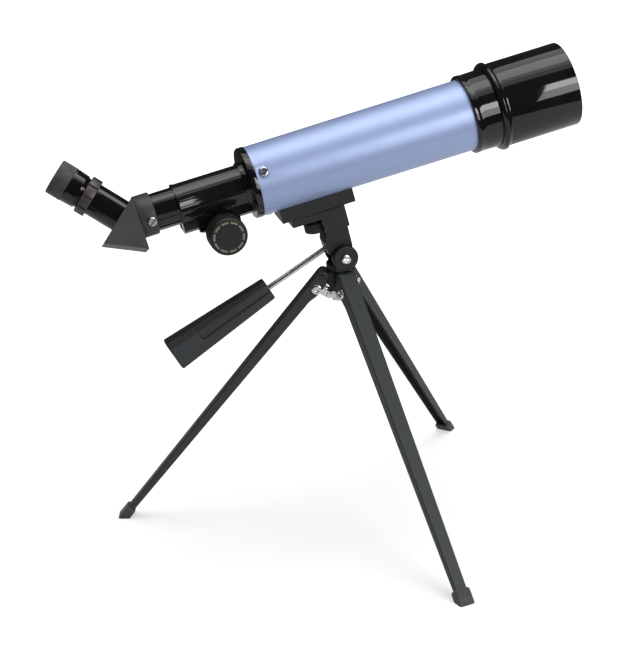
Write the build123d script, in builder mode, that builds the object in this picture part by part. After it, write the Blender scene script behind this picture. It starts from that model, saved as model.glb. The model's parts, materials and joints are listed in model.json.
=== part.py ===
from build123d import *
import os
from math import atan2, cos, degrees, hypot, pi, radians, sin

# Small 50 mm refractor telescope on a folding three-leg table stand.
# Millimetres. +Z is up, +X runs along the tube towards the objective.
# The stand's upright axis crosses the floor at STAND_X, STAND_Y.

os.makedirs("parts", exist_ok=True)

# ---- where the assembly stands ----
STAND_X, STAND_Y = 12.824, 24.596

# ---- optical tube: distances t run along the tube from above the stand ----
TUBE_PITCH = 11.2
TUBE_HEIGHT = 296.8
TUBE_REAR, TUBE_FRONT = -65.3, 111.0
TUBE_R_REAR, TUBE_R_FRONT, TUBE_BORE = 26.6, 27.4, 25.6
TUBE_SCREW_T, TUBE_SCREW_ANGLE, TUBE_SCREW_COUNT = -59.4, 150.0, 3
TUBE_SCREW_R = 1.4
SADDLE_SCREW_T, SADDLE_SCREW_R = (-43.0, -8.0), 1.4

# ---- objective end ----
CELL_REAR, CELL_FRONT = 105.0, 135.6
CELL_LIP_R, CELL_R = 30.3, 30.2
CELL_LIP_LENGTH, CELL_STEP, CELL_TAPER_END = 3.2, 0.6, 123.5
LENS_R, APERTURE_R, LENS_SEAT_T = 25.0, 23.8, 121.0
CROWN_FRONT_T, CEMENT_T, LENS_FRONT_BULGE, CEMENT_BULGE = 129.0, 125.0, 1.7, 2.4
LENS_BACK_BULGE = 0.6
RETAINER_FRONT = 132.5
SHIELD_REAR, SHIELD_STEP, SHIELD_FRONT = 124.5, 136.0, 188.1
SHIELD_R, SHIELD_BORE, SHIELD_LIP_R = 32.3, 30.8, 34.3
SHIELD_LIP_TOP, SHIELD_LIP_END = 128.5, 133.0

# ---- focuser ----
FLANGE_REAR, HOUSING_REAR = -71.0, -125.4
HOUSING_R, HOUSING_BORE = 15.7, 14.35
RACK_BOX_HALF, RACK_BOX_TOP, RACK_BOX_BOTTOM = 12.0, 1.0, -20.5
FOCUS_T, FOCUS_N = -97.8, -23.7
GEAR_MODULE, PINION_TEETH = 1.0, 11
AXLE_R = 2.0
KNOB_R, KNOB_INNER_Y, KNOB_OUTER_Y = 14.6, 20.0, 33.0
DRAWTUBE_R, DRAWTUBE_BORE = 14.2, 12.7
DRAWTUBE_REAR, DRAWTUBE_FRONT = -149.0, -66.5
COLLAR_REAR, COLLAR_FRONT, COLLAR_R = -155.2, -143.0, 16.0

# ---- diagonal and eyepiece ----
PRISM_FACE_T, PRISM_APEX_N, PRISM_FACE, PRISM_HALF = -155.5, 15.0, 40.4, 15.4
PRISM_ANGLE = 49.0
DIAGONAL_SWIVEL = 25.0
PRISM_WALL = 2.0
NOSEPIECE_SEAT, EYEPIECE_SEAT = 0.5, 2.4
BARREL_R, BARREL_BORE = 12.25, 11.0
SOCKET_CLEARANCE = 0.08

# ---- saddle, platform and tilt arm ----
SADDLE_REAR, SADDLE_FRONT = -52.7, 5.2
SADDLE_HALF, SADDLE_BOTTOM = 13.0, -35.0
PLATE_REAR, PLATE_FRONT, PLATE_BOTTOM = -46.0, -4.5, -40.7
MOUNT_T, MOUNT_KNOB_R = -27.0, 8.5
STUD_R = 3.1
PIVOT_X, PIVOT_Z = 3.1, 218.5
CHEEK_R, CHEEK_INNER, CHEEK_OUTER = 10.0, 8.0, 13.0
TONGUE_HALF, TONGUE_R = 7.7, 5.7
BOLT_R = 2.0

# ---- pan handle ----
HANDLE_DROP = 29.7
ROD_X, ROD_Z, ROD_R = -7.3, 225.6, 2.1
ROD_BURIED = 8.0
GRIP_START, GRIP_END = 55.0, 143.5

# ---- stand ----
HUB_R, HUB_TOP, HUB_BOTTOM = 7.0, 208.3, 190.4
HINGE_R, HINGE_Z = 11.7, 202.35
SPLAY = 39.2
LEG_COUNT = 3
LEG_AZIMUTH = 163.3
LEG_WIDTH_TOP, LEG_WIDTH_FOOT = 14.5, 9.6
LEG_DEPTH_TOP, LEG_DEPTH_FOOT = 9.2, 4.6
LEG_SHEET = 1.0
LEG_END = 254.0
FOOT_WIDTH, FOOT_DEPTH, FOOT_LENGTH = 13.0, 7.2, 14.0
RIVET_ALONG, RIVET_INWARD = 10.5, 2.4
SPIDER_R, SPIDER_Z = 7.0, 187.0
LINK_HALF_HEIGHT = 2.6


# ---- reference directions and planes ----
PITCH = radians(TUBE_PITCH)
TUBE_DIR = Vector(cos(PITCH), 0, sin(PITCH))
TUBE_UP = Vector(-sin(PITCH), 0, cos(PITCH))
TUBE_ORIGIN = Vector(STAND_X, STAND_Y, TUBE_HEIGHT)
TUBE_AXIS = Axis(TUBE_ORIGIN, TUBE_DIR)
RIGHT_SIDE = (0, -1, 0)


def tube_point(t, n=0.0, y=0.0):
    return TUBE_ORIGIN + TUBE_DIR * t + TUBE_UP * n + Vector(0, y, 0)


def along_tube(y=0.0):
    """Plane through the tube's axis: local x is t, local y is n, normal -Y."""
    return Plane(origin=tube_point(0, 0, y), x_dir=TUBE_DIR, z_dir=RIGHT_SIDE)


def across_tube(t, n=0.0):
    """Plane square to the tube, facing the objective: local x is +Y, local y is up."""
    return Plane(origin=tube_point(t, n), x_dir=(0, 1, 0), z_dir=TUBE_DIR)


def level_with_tube(n, t=0.0):
    """Plane parallel to the tube, facing up: local x is t, local y is +Y."""
    return Plane(origin=tube_point(t, n), x_dir=TUBE_DIR, z_dir=TUBE_UP)


def stand_plane(y=0.0):
    """Upright plane through the stand: local x is X, local y is height, normal -Y."""
    return Plane(origin=(STAND_X, STAND_Y + y, 0), x_dir=(1, 0, 0), z_dir=RIGHT_SIDE)


def level(z, x=0.0):
    return Plane(origin=(STAND_X + x, STAND_Y, z))


def outline(*points):
    """Straight-sided face in the current sketch, from its corners."""
    Polygon(*points, align=None)


def save(part, name):
    part.label = name
    export_step(part, f"parts/{name}.step")


def save_group(solids, name):
    save(Compound(children=list(solids)), name)


def turned(points, plane, axis):
    """Solid turned about an axis from (distance, radius) points."""
    with BuildPart() as body:
        with BuildSketch(plane):
            outline(*points)
        revolve(axis=axis)
    return body.part


def ring(start, end, outer, inner, plane, axis):
    """Plain ring between two distances along an axis."""
    return turned([(start, inner), (end, inner), (end, outer), (start, outer)], plane, axis)


def tube_screw_plane(k, height):
    """Plane facing outward at the k-th screw round the tube's rear end."""
    direction = radians(TUBE_SCREW_ANGLE + 360 / TUBE_SCREW_COUNT * k)
    outward = Vector(0, cos(direction), 0) + TUBE_UP * sin(direction)
    return Plane(origin=tube_point(TUBE_SCREW_T) + outward * height, z_dir=outward, x_dir=TUBE_DIR)


def cross_screw(seat, head_r, head_height, shank_r, shank_length):
    """Pan-head screw with a cross recess; the head stands on the seat plane."""
    recess_depth = 0.55 * head_height
    with BuildPart() as screw:
        with BuildSketch(seat):
            Circle(head_r)
        extrude(amount=head_height)
        rim = screw.edges().filter_by(GeomType.CIRCLE).sort_by(Axis(seat.origin, seat.z_dir))[-1]
        fillet(rim, 0.6 * head_height)
        with BuildSketch(seat.offset(head_height - recess_depth)):
            Rectangle(1.15 * head_r, 0.26 * head_r)
            Rectangle(0.26 * head_r, 1.15 * head_r)
        extrude(amount=recess_depth, mode=Mode.SUBTRACT)
        with BuildSketch(seat):
            Circle(shank_r)
        extrude(amount=-shank_length)
    return screw.part


def pin(plane, half_length, radius, head_r, head_height):
    """Pin through the plane's origin with a low domed head at each end."""
    with BuildPart() as body:
        with BuildSketch(plane):
            Circle(radius)
        extrude(amount=half_length, both=True)
        for side in (1, -1):
            with BuildSketch(plane.offset(side * half_length)):
                Circle(head_r)
            extrude(amount=side * head_height)
        ends = body.edges().filter_by(GeomType.CIRCLE).sort_by(Axis(plane.origin, plane.z_dir))
        fillet([ends[0], ends[-1]], 0.6 * head_height)
    return body.part


# ================= optical tube =================
with BuildPart() as main_tube:
    with BuildSketch(along_tube()):
        outline((TUBE_REAR, TUBE_BORE), (TUBE_FRONT, TUBE_BORE),
                (TUBE_FRONT, TUBE_R_FRONT), (TUBE_REAR, TUBE_R_REAR))
    revolve(axis=TUBE_AXIS)
    # three screw holes near the rear end
    for k in range(TUBE_SCREW_COUNT):
        with BuildSketch(tube_screw_plane(k, 0)):
            Circle(TUBE_SCREW_R + 0.05)
        extrude(amount=2 * TUBE_BORE, mode=Mode.SUBTRACT)
    # two holes under the tube for the saddle screws
    for t in SADDLE_SCREW_T:
        with BuildSketch(level_with_tube(-TUBE_BORE, t)):
            Circle(SADDLE_SCREW_R + 0.15)
        extrude(amount=TUBE_BORE / 4, both=True, mode=Mode.SUBTRACT)
save(main_tube.part, "main_tube")

save_group([cross_screw(tube_screw_plane(k, TUBE_R_REAR + 0.05), 3.5, 1.7, TUBE_SCREW_R, 4.6)
            for k in range(TUBE_SCREW_COUNT)], "tube_screws")

BAFFLE_T, BAFFLE_THICKNESS, BAFFLE_BORE = 18.0, 1.2, 16.5
save(ring(BAFFLE_T, BAFFLE_T + BAFFLE_THICKNESS, TUBE_BORE - 0.02, BAFFLE_BORE, along_tube(), TUBE_AXIS),
     "tube_baffle")

# ================= objective end =================
with BuildPart() as objective_cell:
    with BuildSketch(along_tube()):
        outline((CELL_REAR, TUBE_R_FRONT + 0.05), (CELL_REAR, CELL_LIP_R),
                (CELL_REAR + CELL_LIP_LENGTH, CELL_LIP_R),
                (CELL_REAR + CELL_LIP_LENGTH + CELL_STEP, CELL_R - CELL_STEP / 2),
                (CELL_TAPER_END, CELL_R), (CELL_FRONT, CELL_R),
                (CELL_FRONT, LENS_R + 0.1), (LENS_SEAT_T, LENS_R + 0.1), (LENS_SEAT_T, APERTURE_R),
                (TUBE_FRONT + 0.2, APERTURE_R), (TUBE_FRONT + 0.2, TUBE_R_FRONT + 0.05))
    revolve(axis=TUBE_AXIS)
    lip_edges = objective_cell.edges().filter_by(GeomType.CIRCLE).sort_by(TUBE_AXIS)[0:2]
    fillet(lip_edges.sort_by(SortBy.RADIUS)[-1], 1.0)
save(objective_cell.part, "objective_cell")

# crown glass in front, flint glass behind it, both meeting on one cemented curve
with BuildPart() as objective_flint:
    with BuildSketch(along_tube()):
        with BuildLine():
            Polyline((CEMENT_T - CEMENT_BULGE, 0), (LENS_SEAT_T + LENS_BACK_BULGE, 0),
                     (LENS_SEAT_T, LENS_R), (CEMENT_T, LENS_R))
            flint_radius = (LENS_R ** 2 + CEMENT_BULGE ** 2) / (2 * CEMENT_BULGE)
            RadiusArc((CEMENT_T, LENS_R), (CEMENT_T - CEMENT_BULGE, 0), -flint_radius)
        make_face()
    revolve(axis=TUBE_AXIS)
save(objective_flint.part, "objective_flint")

with BuildPart() as objective_crown:
    with BuildSketch(along_tube()):
        with BuildLine():
            crown_radius = (LENS_R ** 2 + LENS_FRONT_BULGE ** 2) / (2 * LENS_FRONT_BULGE)
            Line((CEMENT_T - CEMENT_BULGE, 0), (CROWN_FRONT_T + LENS_FRONT_BULGE, 0))
            RadiusArc((CROWN_FRONT_T + LENS_FRONT_BULGE, 0), (CROWN_FRONT_T, LENS_R), -crown_radius)
            Line((CROWN_FRONT_T, LENS_R), (CEMENT_T, LENS_R))
            RadiusArc((CEMENT_T, LENS_R), (CEMENT_T - CEMENT_BULGE, 0), -flint_radius)
        make_face()
    revolve(axis=TUBE_AXIS)
save(objective_crown.part, "objective_crown")

save(ring(CROWN_FRONT_T + 0.3, RETAINER_FRONT, LENS_R, APERTURE_R, along_tube(), TUBE_AXIS),
     "lens_retainer")

with BuildPart() as dew_shield:
    with BuildSketch(along_tube()):
        with BuildLine():
            Polyline((SHIELD_REAR, CELL_R + 0.05), (SHIELD_STEP, CELL_R + 0.05), (SHIELD_STEP, SHIELD_BORE),
                     (SHIELD_FRONT, SHIELD_BORE), (SHIELD_FRONT, SHIELD_R), (SHIELD_LIP_END, SHIELD_R))
            RadiusArc((SHIELD_LIP_END, SHIELD_R), (SHIELD_LIP_TOP, SHIELD_LIP_R), 3.2)
            RadiusArc((SHIELD_LIP_TOP, SHIELD_LIP_R), (SHIELD_REAR, SHIELD_R - 0.9), -3.6)
            Line((SHIELD_REAR, SHIELD_R - 0.9), (SHIELD_REAR, CELL_R + 0.05))
        make_face()
    revolve(axis=TUBE_AXIS)
    front_rims = dew_shield.edges().filter_by(GeomType.CIRCLE).sort_by(TUBE_AXIS)[-2:]
    fillet(front_rims.sort_by(SortBy.RADIUS)[-1], 0.7)
save(dew_shield.part, "dew_shield")

# ================= focuser =================
PITCH_LINE_N = FOCUS_N + GEAR_MODULE * PINION_TEETH / 2
RACK_TIP_N = PITCH_LINE_N - GEAR_MODULE
RACK_ROOT_N = PITCH_LINE_N + 1.25 * GEAR_MODULE
PINION_HALF, PINION_ROOM_R = 2.5, 6.75
SPIGOT_FRONT = -52.0
RACK_SLOT_HALF = 3.1
COVER_REAR, COVER_FRONT, COVER_HALF = -114.0, -82.0, 9.0
COVER_SCREW_T, COVER_SCREW_Y, COVER_SCREW_R = (-110.8, -85.2), 6.2, 1.1
COVER_BELLY_HALF, COVER_FLAT_HALF, COVER_DEPTH = 9.0, 5.0, 7.6
RECESS_T, RECESS_N, RECESS_LENGTH, RECESS_HEIGHT = -101.5, -6.2, 31.0, 6.4
EAR_THICKNESS = 2.6
EAR_BOTTOM = RACK_BOX_BOTTOM - EAR_THICKNESS
FLANGE_R, NECK_R, NECK_LENGTH = 27.1, 17.1, 3.5
with BuildPart() as focuser_housing:
    with BuildSketch(along_tube()):
        outline((HOUSING_REAR, 0), (SPIGOT_FRONT, 0), (SPIGOT_FRONT, TUBE_BORE - 0.05),
                (TUBE_REAR - 0.05, TUBE_BORE - 0.05), (TUBE_REAR - 0.05, FLANGE_R),
                (FLANGE_REAR + 1.0, FLANGE_R), (FLANGE_REAR, FLANGE_R - 1.0), (FLANGE_REAR, NECK_R),
                (FLANGE_REAR - NECK_LENGTH, NECK_R), (FLANGE_REAR - NECK_LENGTH, HOUSING_R),
                (HOUSING_REAR, HOUSING_R))
    revolve(axis=TUBE_AXIS)
    # flat-sided box for the rack under the round barrel
    with BuildSketch(across_tube(HOUSING_REAR)):
        outline((-RACK_BOX_HALF, RACK_BOX_TOP), (RACK_BOX_HALF, RACK_BOX_TOP),
                (RACK_BOX_HALF, RACK_BOX_BOTTOM + 3.0), (RACK_BOX_HALF - 4.0, RACK_BOX_BOTTOM),
                (4.0 - RACK_BOX_HALF, RACK_BOX_BOTTOM), (-RACK_BOX_HALF, RACK_BOX_BOTTOM + 3.0))
    extrude(amount=FLANGE_REAR - HOUSING_REAR)
    # thin lip round the rear mouth
    with BuildSketch(across_tube(HOUSING_REAR)):
        Circle(HOUSING_R + 0.5)
    extrude(amount=1.6)
    # long oval recess in each side of the rack box
    for side in (1, -1):
        with BuildSketch(along_tube(side * RACK_BOX_HALF)):
            with Locations((RECESS_T, RECESS_N)):
                SlotOverall(RECESS_LENGTH, RECESS_HEIGHT, rotation=3.0)
        extrude(amount=1.4, both=True, mode=Mode.SUBTRACT)
    # bore for the drawtube, wide relief inside the spigot, slot for the rack
    with BuildSketch(across_tube(HOUSING_REAR)):
        Circle(HOUSING_BORE)
    extrude(amount=SPIGOT_FRONT - HOUSING_REAR, mode=Mode.SUBTRACT)
    with BuildSketch(across_tube(TUBE_REAR)):
        Circle(TUBE_BORE - 2.6)
    extrude(amount=SPIGOT_FRONT - TUBE_REAR, mode=Mode.SUBTRACT)
    with BuildSketch(across_tube(HOUSING_REAR)):
        with Locations((0, (RACK_TIP_N - 0.35) / 2)):
            Rectangle(2 * RACK_SLOT_HALF, 0.35 - RACK_TIP_N)
    extrude(amount=TUBE_REAR - HOUSING_REAR, mode=Mode.SUBTRACT)
    # window where the pinion reaches the rack
    with BuildSketch(level_with_tube(RACK_BOX_BOTTOM - 1, FOCUS_T)):
        Rectangle(16.0, 2 * RACK_SLOT_HALF)
    extrude(amount=6, mode=Mode.SUBTRACT)
    # threaded holes of the tube screws and of the cover screws
    for k in range(TUBE_SCREW_COUNT):
        with BuildSketch(tube_screw_plane(k, 0)):
            Circle(TUBE_SCREW_R + 0.02)
        extrude(amount=TUBE_BORE + 1, mode=Mode.SUBTRACT)
    for t in COVER_SCREW_T:
        with BuildSketch(level_with_tube(RACK_BOX_BOTTOM, t)):
            with Locations((0, COVER_SCREW_Y), (0, -COVER_SCREW_Y)):
                Circle(COVER_SCREW_R + 0.02)
        extrude(amount=3.2, mode=Mode.SUBTRACT)
save(focuser_housing.part, "focuser_housing")

FOCUS_AXIS_PLANE = Plane(origin=tube_point(FOCUS_T, FOCUS_N), x_dir=TUBE_DIR, z_dir=RIGHT_SIDE)
with BuildPart() as pinion_cover:
    with BuildSketch(along_tube()):
        outline((COVER_REAR, RACK_BOX_BOTTOM - 0.02), (COVER_FRONT, RACK_BOX_BOTTOM - 0.02),
                (COVER_FRONT, EAR_BOTTOM), (FOCUS_T + COVER_BELLY_HALF, EAR_BOTTOM),
                (FOCUS_T + COVER_FLAT_HALF, FOCUS_N - COVER_DEPTH),
                (FOCUS_T - COVER_FLAT_HALF, FOCUS_N - COVER_DEPTH),
                (FOCUS_T - COVER_BELLY_HALF, EAR_BOTTOM), (COVER_REAR, EAR_BOTTOM))
    extrude(amount=COVER_HALF, both=True)
    with BuildSketch(FOCUS_AXIS_PLANE):
        Circle(AXLE_R + 0.06)
    extrude(amount=20, both=True, mode=Mode.SUBTRACT)
    # room for the pinion, open towards the rack
    with BuildSketch(FOCUS_AXIS_PLANE):
        Circle(PINION_ROOM_R)
        with Locations((0, PINION_ROOM_R)):
            Rectangle(2 * PINION_ROOM_R, 2 * PINION_ROOM_R)
    extrude(amount=RACK_SLOT_HALF, both=True, mode=Mode.SUBTRACT)
    for t in COVER_SCREW_T:
        with BuildSketch(level_with_tube(RACK_BOX_BOTTOM, t)):
            with Locations((0, COVER_SCREW_Y), (0, -COVER_SCREW_Y)):
                Circle(COVER_SCREW_R + 0.02)
        extrude(amount=-EAR_THICKNESS - 1, mode=Mode.SUBTRACT)
save(pinion_cover.part, "pinion_cover")

cover_screws = []
for t in COVER_SCREW_T:
    for y in (COVER_SCREW_Y, -COVER_SCREW_Y):
        seat = Plane(origin=tube_point(t, EAR_BOTTOM - 0.05, y), x_dir=TUBE_DIR, z_dir=-TUBE_UP)
        cover_screws.append(cross_screw(seat, 2.0, 1.2, COVER_SCREW_R, 5.0))
save_group(cover_screws, "cover_screws")

KNOB_GROOVES, KNOB_GROOVE_R = 44, 0.5
KNURL_WIDTH, KNOB_BOSS_R, KNOB_BOSS_LENGTH = 10.0, 6.5, 7.0
AXLE_HALF = KNOB_OUTER_Y - 3.0
MARK_INNER, MARK_OUTER, MARK_COUNT, MARK_DEPTH = 10.4, 11.9, 10, 0.5
with BuildPart() as focus_axle:
    with BuildSketch(FOCUS_AXIS_PLANE):
        Circle(AXLE_R)
    extrude(amount=AXLE_HALF, both=True)
save(focus_axle.part, "focus_axle")

PINION_R = GEAR_MODULE * PINION_TEETH / 2


def gear_profile():
    """Straight-flanked teeth round a root circle, one tooth pointing along local x."""
    root_r = PINION_R - 1.25 * GEAR_MODULE
    tip_r = PINION_R + GEAR_MODULE
    tooth_step = 360 / PINION_TEETH
    corners = []
    for tooth in range(PINION_TEETH):
        for offset, radius in ((-0.33, root_r), (-0.12, tip_r), (0.12, tip_r), (0.33, root_r)):
            angle = radians((tooth + offset) * tooth_step)
            corners.append((radius * cos(angle), radius * sin(angle)))
    outline(*corners)


# the rack has a gap straight above the axle, and a tooth of the pinion stands in it
with BuildPart() as focus_pinion:
    with BuildSketch(Plane(origin=FOCUS_AXIS_PLANE.origin, x_dir=TUBE_UP, z_dir=RIGHT_SIDE)):
        gear_profile()
        Circle(AXLE_R, mode=Mode.SUBTRACT)
    extrude(amount=PINION_HALF, both=True)
save(focus_pinion.part, "focus_pinion")


def focus_knob(side):
    """Knurled knob with a boss on its inner side and a shallow ring groove in its face."""
    start = Plane(origin=FOCUS_AXIS_PLANE.origin, x_dir=TUBE_DIR, z_dir=(0, side, 0))
    with BuildPart() as knob:
        with BuildSketch(start.offset(KNOB_INNER_Y)):
            Circle(KNOB_R)
            with PolarLocations(KNOB_R + 0.12, KNOB_GROOVES):
                Circle(KNOB_GROOVE_R, mode=Mode.SUBTRACT)
        extrude(amount=KNURL_WIDTH)
        with BuildSketch(start.offset(KNOB_INNER_Y + KNURL_WIDTH)):
            Circle(KNOB_R - 0.2)
        extrude(amount=KNOB_OUTER_Y - KNOB_INNER_Y - KNURL_WIDTH)
        rim = knob.edges().filter_by(GeomType.CIRCLE).sort_by(Axis(start.origin, start.z_dir))[-1]
        fillet(rim, 1.3)
        with BuildSketch(start.offset(KNOB_INNER_Y - KNOB_BOSS_LENGTH)):
            Circle(KNOB_BOSS_R)
        extrude(amount=KNOB_BOSS_LENGTH)
        with BuildSketch(start.offset(KNOB_OUTER_Y - MARK_DEPTH)):
            Circle(MARK_OUTER + 0.25)
            Circle(MARK_INNER - 0.25, mode=Mode.SUBTRACT)
        extrude(amount=MARK_DEPTH, mode=Mode.SUBTRACT)
        with BuildSketch(start):
            Circle(AXLE_R)
        extrude(amount=AXLE_HALF, mode=Mode.SUBTRACT)
    return knob.part


def knob_marks(side):
    """Plain raised dashes set round the groove of one knob's face."""
    face = Plane(origin=FOCUS_AXIS_PLANE.origin, x_dir=TUBE_DIR, z_dir=(0, side, 0))
    dash = 360 / MARK_COUNT * 0.8
    with BuildPart() as marks:
        for k in range(MARK_COUNT):
            start_angle = k * 360 / MARK_COUNT + 6
            with BuildSketch(face.offset(KNOB_OUTER_Y - MARK_DEPTH)):
                with BuildLine():
                    inner = CenterArc((0, 0), MARK_INNER, start_angle, dash)
                    outer = CenterArc((0, 0), MARK_OUTER, start_angle, dash)
                    Line(inner @ 0, outer @ 0)
                    Line(inner @ 1, outer @ 1)
                make_face()
            extrude(amount=MARK_DEPTH - 0.05)
    return marks.part


save(focus_knob(-1), "focus_knob_right")
save(focus_knob(1), "focus_knob_left")
save_group(knob_marks(-1).solids() + knob_marks(1).solids(), "knob_marks")

CLAMP_T, CLAMP_SHANK_R = -147.2, 1.6
with BuildPart() as drawtube:
    with BuildSketch(across_tube(DRAWTUBE_REAR)):
        Circle(DRAWTUBE_R)
        Circle(DRAWTUBE_BORE, mode=Mode.SUBTRACT)
    extrude(amount=DRAWTUBE_FRONT - DRAWTUBE_REAR)
    with BuildSketch(Plane(origin=tube_point(CLAMP_T), x_dir=TUBE_DIR, z_dir=RIGHT_SIDE)):
        Circle(CLAMP_SHANK_R + 0.1)
    extrude(amount=DRAWTUBE_R + 1, mode=Mode.SUBTRACT)
save(drawtube.part, "drawtube")

RACK_REAR, RACK_FRONT, RACK_HALF = -124.2, -68.2, 2.6
TOOTH_STEP = pi * GEAR_MODULE
RACK_TOP_N = 0.6 - DRAWTUBE_R
BACKLASH = 0.1
FLANK_SLOPE = 0.364
RACK_TEETH = int((RACK_FRONT - RACK_REAR - TOOTH_STEP) / TOOTH_STEP)
with BuildPart() as focus_rack:
    # the back of the rack is hollowed to lie against the drawtube
    with BuildSketch(across_tube(RACK_REAR)):
        with Locations((0, (RACK_TOP_N + RACK_ROOT_N) / 2)):
            Rectangle(2 * RACK_HALF, RACK_TOP_N - RACK_ROOT_N)
        Circle(DRAWTUBE_R, mode=Mode.SUBTRACT)
    extrude(amount=RACK_FRONT - RACK_REAR)
    # teeth stand half a step either side of the axle, so that a gap is over it
    with BuildSketch(along_tube()):
        first = -int((FOCUS_T - RACK_REAR) / TOOTH_STEP - 0.5)
        root_half = TOOTH_STEP / 4 - BACKLASH + 1.25 * GEAR_MODULE * FLANK_SLOPE
        tip_half = TOOTH_STEP / 4 - BACKLASH - GEAR_MODULE * FLANK_SLOPE
        for tooth in range(first, first + RACK_TEETH):
            centre = FOCUS_T + (tooth + 0.5) * TOOTH_STEP
            outline((centre - root_half, RACK_ROOT_N + 0.2), (centre - tip_half, RACK_TIP_N),
                    (centre + tip_half, RACK_TIP_N), (centre + root_half, RACK_ROOT_N + 0.2))
    extrude(amount=RACK_HALF, both=True)
save(focus_rack.part, "focus_rack")

with BuildPart() as drawtube_collar:
    with BuildSketch(along_tube()):
        outline((COLLAR_REAR, BARREL_R + SOCKET_CLEARANCE), (DRAWTUBE_REAR, BARREL_R + SOCKET_CLEARANCE),
                (DRAWTUBE_REAR, DRAWTUBE_R), (COLLAR_FRONT, DRAWTUBE_R), (COLLAR_FRONT, COLLAR_R - 0.4),
                (COLLAR_FRONT - 0.4, COLLAR_R), (COLLAR_REAR, COLLAR_R))
    revolve(axis=TUBE_AXIS)
    with BuildSketch(Plane(origin=tube_point(CLAMP_T), x_dir=TUBE_DIR, z_dir=RIGHT_SIDE)):
        Circle(CLAMP_SHANK_R + 0.05)
    extrude(amount=COLLAR_R + 1, mode=Mode.SUBTRACT)
save(drawtube_collar.part, "drawtube_collar")

# slotted clamp screw on the right side of the collar
CLAMP_SEAT_Y, CLAMP_HEAD_R, CLAMP_HEAD_HEIGHT = COLLAR_R + 0.2, 3.4, 2.0
with BuildPart() as collar_screw:
    clamp_seat = Plane(origin=tube_point(CLAMP_T, 0, -CLAMP_SEAT_Y), x_dir=TUBE_DIR, z_dir=RIGHT_SIDE)
    with BuildSketch(clamp_seat):
        Circle(CLAMP_HEAD_R)
    extrude(amount=CLAMP_HEAD_HEIGHT)
    fillet(collar_screw.edges().filter_by(GeomType.CIRCLE).sort_by(Axis.Y)[0], 0.7)
    with BuildSketch(clamp_seat.offset(CLAMP_HEAD_HEIGHT / 2)):
        Rectangle(3 * CLAMP_HEAD_R, 1.1, rotation=40)
    extrude(amount=CLAMP_HEAD_HEIGHT, mode=Mode.SUBTRACT)
    with BuildSketch(clamp_seat):
        Circle(CLAMP_SHANK_R)
    extrude(amount=BARREL_R + SOCKET_CLEARANCE + 0.05 - CLAMP_SEAT_Y)
save(collar_screw.part, "collar_screw")

# ================= diagonal =================
# the diagonal is turned on the tube's axis, its top away from the clamp screw's side
TO_LEFT = Vector(0, 1, 0)
SWIVEL_COS, SWIVEL_SIN = cos(radians(DIAGONAL_SWIVEL)), sin(radians(DIAGONAL_SWIVEL))
DIAGONAL_UP = TUBE_UP * SWIVEL_COS + TO_LEFT * SWIVEL_SIN
DIAGONAL_LEFT = TO_LEFT * SWIVEL_COS - TUBE_UP * SWIVEL_SIN
BEND_COS, BEND_SIN = cos(radians(PRISM_ANGLE)), sin(radians(PRISM_ANGLE))
PRISM_APEX = (PRISM_FACE_T, PRISM_APEX_N)
PRISM_LOW = (PRISM_FACE_T, PRISM_APEX_N - PRISM_FACE)
PRISM_BACK = (PRISM_FACE_T - PRISM_FACE * BEND_SIN, PRISM_APEX_N - PRISM_FACE * BEND_COS)
# both tubes enter their faces equally far from the apex
EYE_T = PRISM_FACE_T - PRISM_APEX_N * BEND_SIN
EYE_N = PRISM_APEX_N - PRISM_APEX_N * BEND_COS
EYE_ORIGIN = TUBE_ORIGIN + TUBE_DIR * EYE_T + DIAGONAL_UP * EYE_N
EYE_DIR = DIAGONAL_UP * BEND_SIN - TUBE_DIR * BEND_COS
EYE_AXIS = Axis(EYE_ORIGIN, EYE_DIR)


def along_diagonal(y=0.0):
    """Plane through the tube's axis, turned with the diagonal and moved y to its left."""
    return Plane(origin=TUBE_ORIGIN + DIAGONAL_LEFT * y, x_dir=TUBE_DIR, z_dir=-DIAGONAL_LEFT)


def along_eyepiece():
    """Plane through the eyepiece axis: local x is the distance from the diagonal's face."""
    return Plane(origin=EYE_ORIGIN, x_dir=EYE_DIR, z_dir=-DIAGONAL_LEFT)


def across_eyepiece(s):
    return Plane(origin=EYE_ORIGIN + EYE_DIR * s, x_dir=DIAGONAL_LEFT, z_dir=EYE_DIR)


COVER_THICKNESS = 2.0
CASE_HALF = PRISM_HALF - COVER_THICKNESS
with BuildPart() as diagonal_case:
    with BuildSketch(along_diagonal()):
        outline(PRISM_APEX, PRISM_BACK, PRISM_LOW)
        offset(amount=-PRISM_WALL, mode=Mode.SUBTRACT)
    extrude(amount=CASE_HALF, both=True)
    with BuildSketch(across_eyepiece(1)):
        Circle(BARREL_R + SOCKET_CLEARANCE)
    extrude(amount=-1 - EYEPIECE_SEAT, mode=Mode.SUBTRACT)
    with BuildSketch(across_tube(PRISM_FACE_T + 1)):
        Circle(BARREL_R)
    extrude(amount=-1 - NOSEPIECE_SEAT, mode=Mode.SUBTRACT)
    with BuildSketch(across_tube(PRISM_FACE_T)):
        Circle(BARREL_BORE)
    extrude(amount=-PRISM_WALL - 1, mode=Mode.SUBTRACT)
save(diagonal_case.part, "diagonal_case")

with BuildPart() as diagonal_covers:
    for side in (1, -1):
        with BuildSketch(along_diagonal(side * CASE_HALF)):
            outline(PRISM_APEX, PRISM_BACK, PRISM_LOW)
        extrude(amount=-side * COVER_THICKNESS)
save_group(diagonal_covers.part.solids(), "diagonal_covers")

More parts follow.
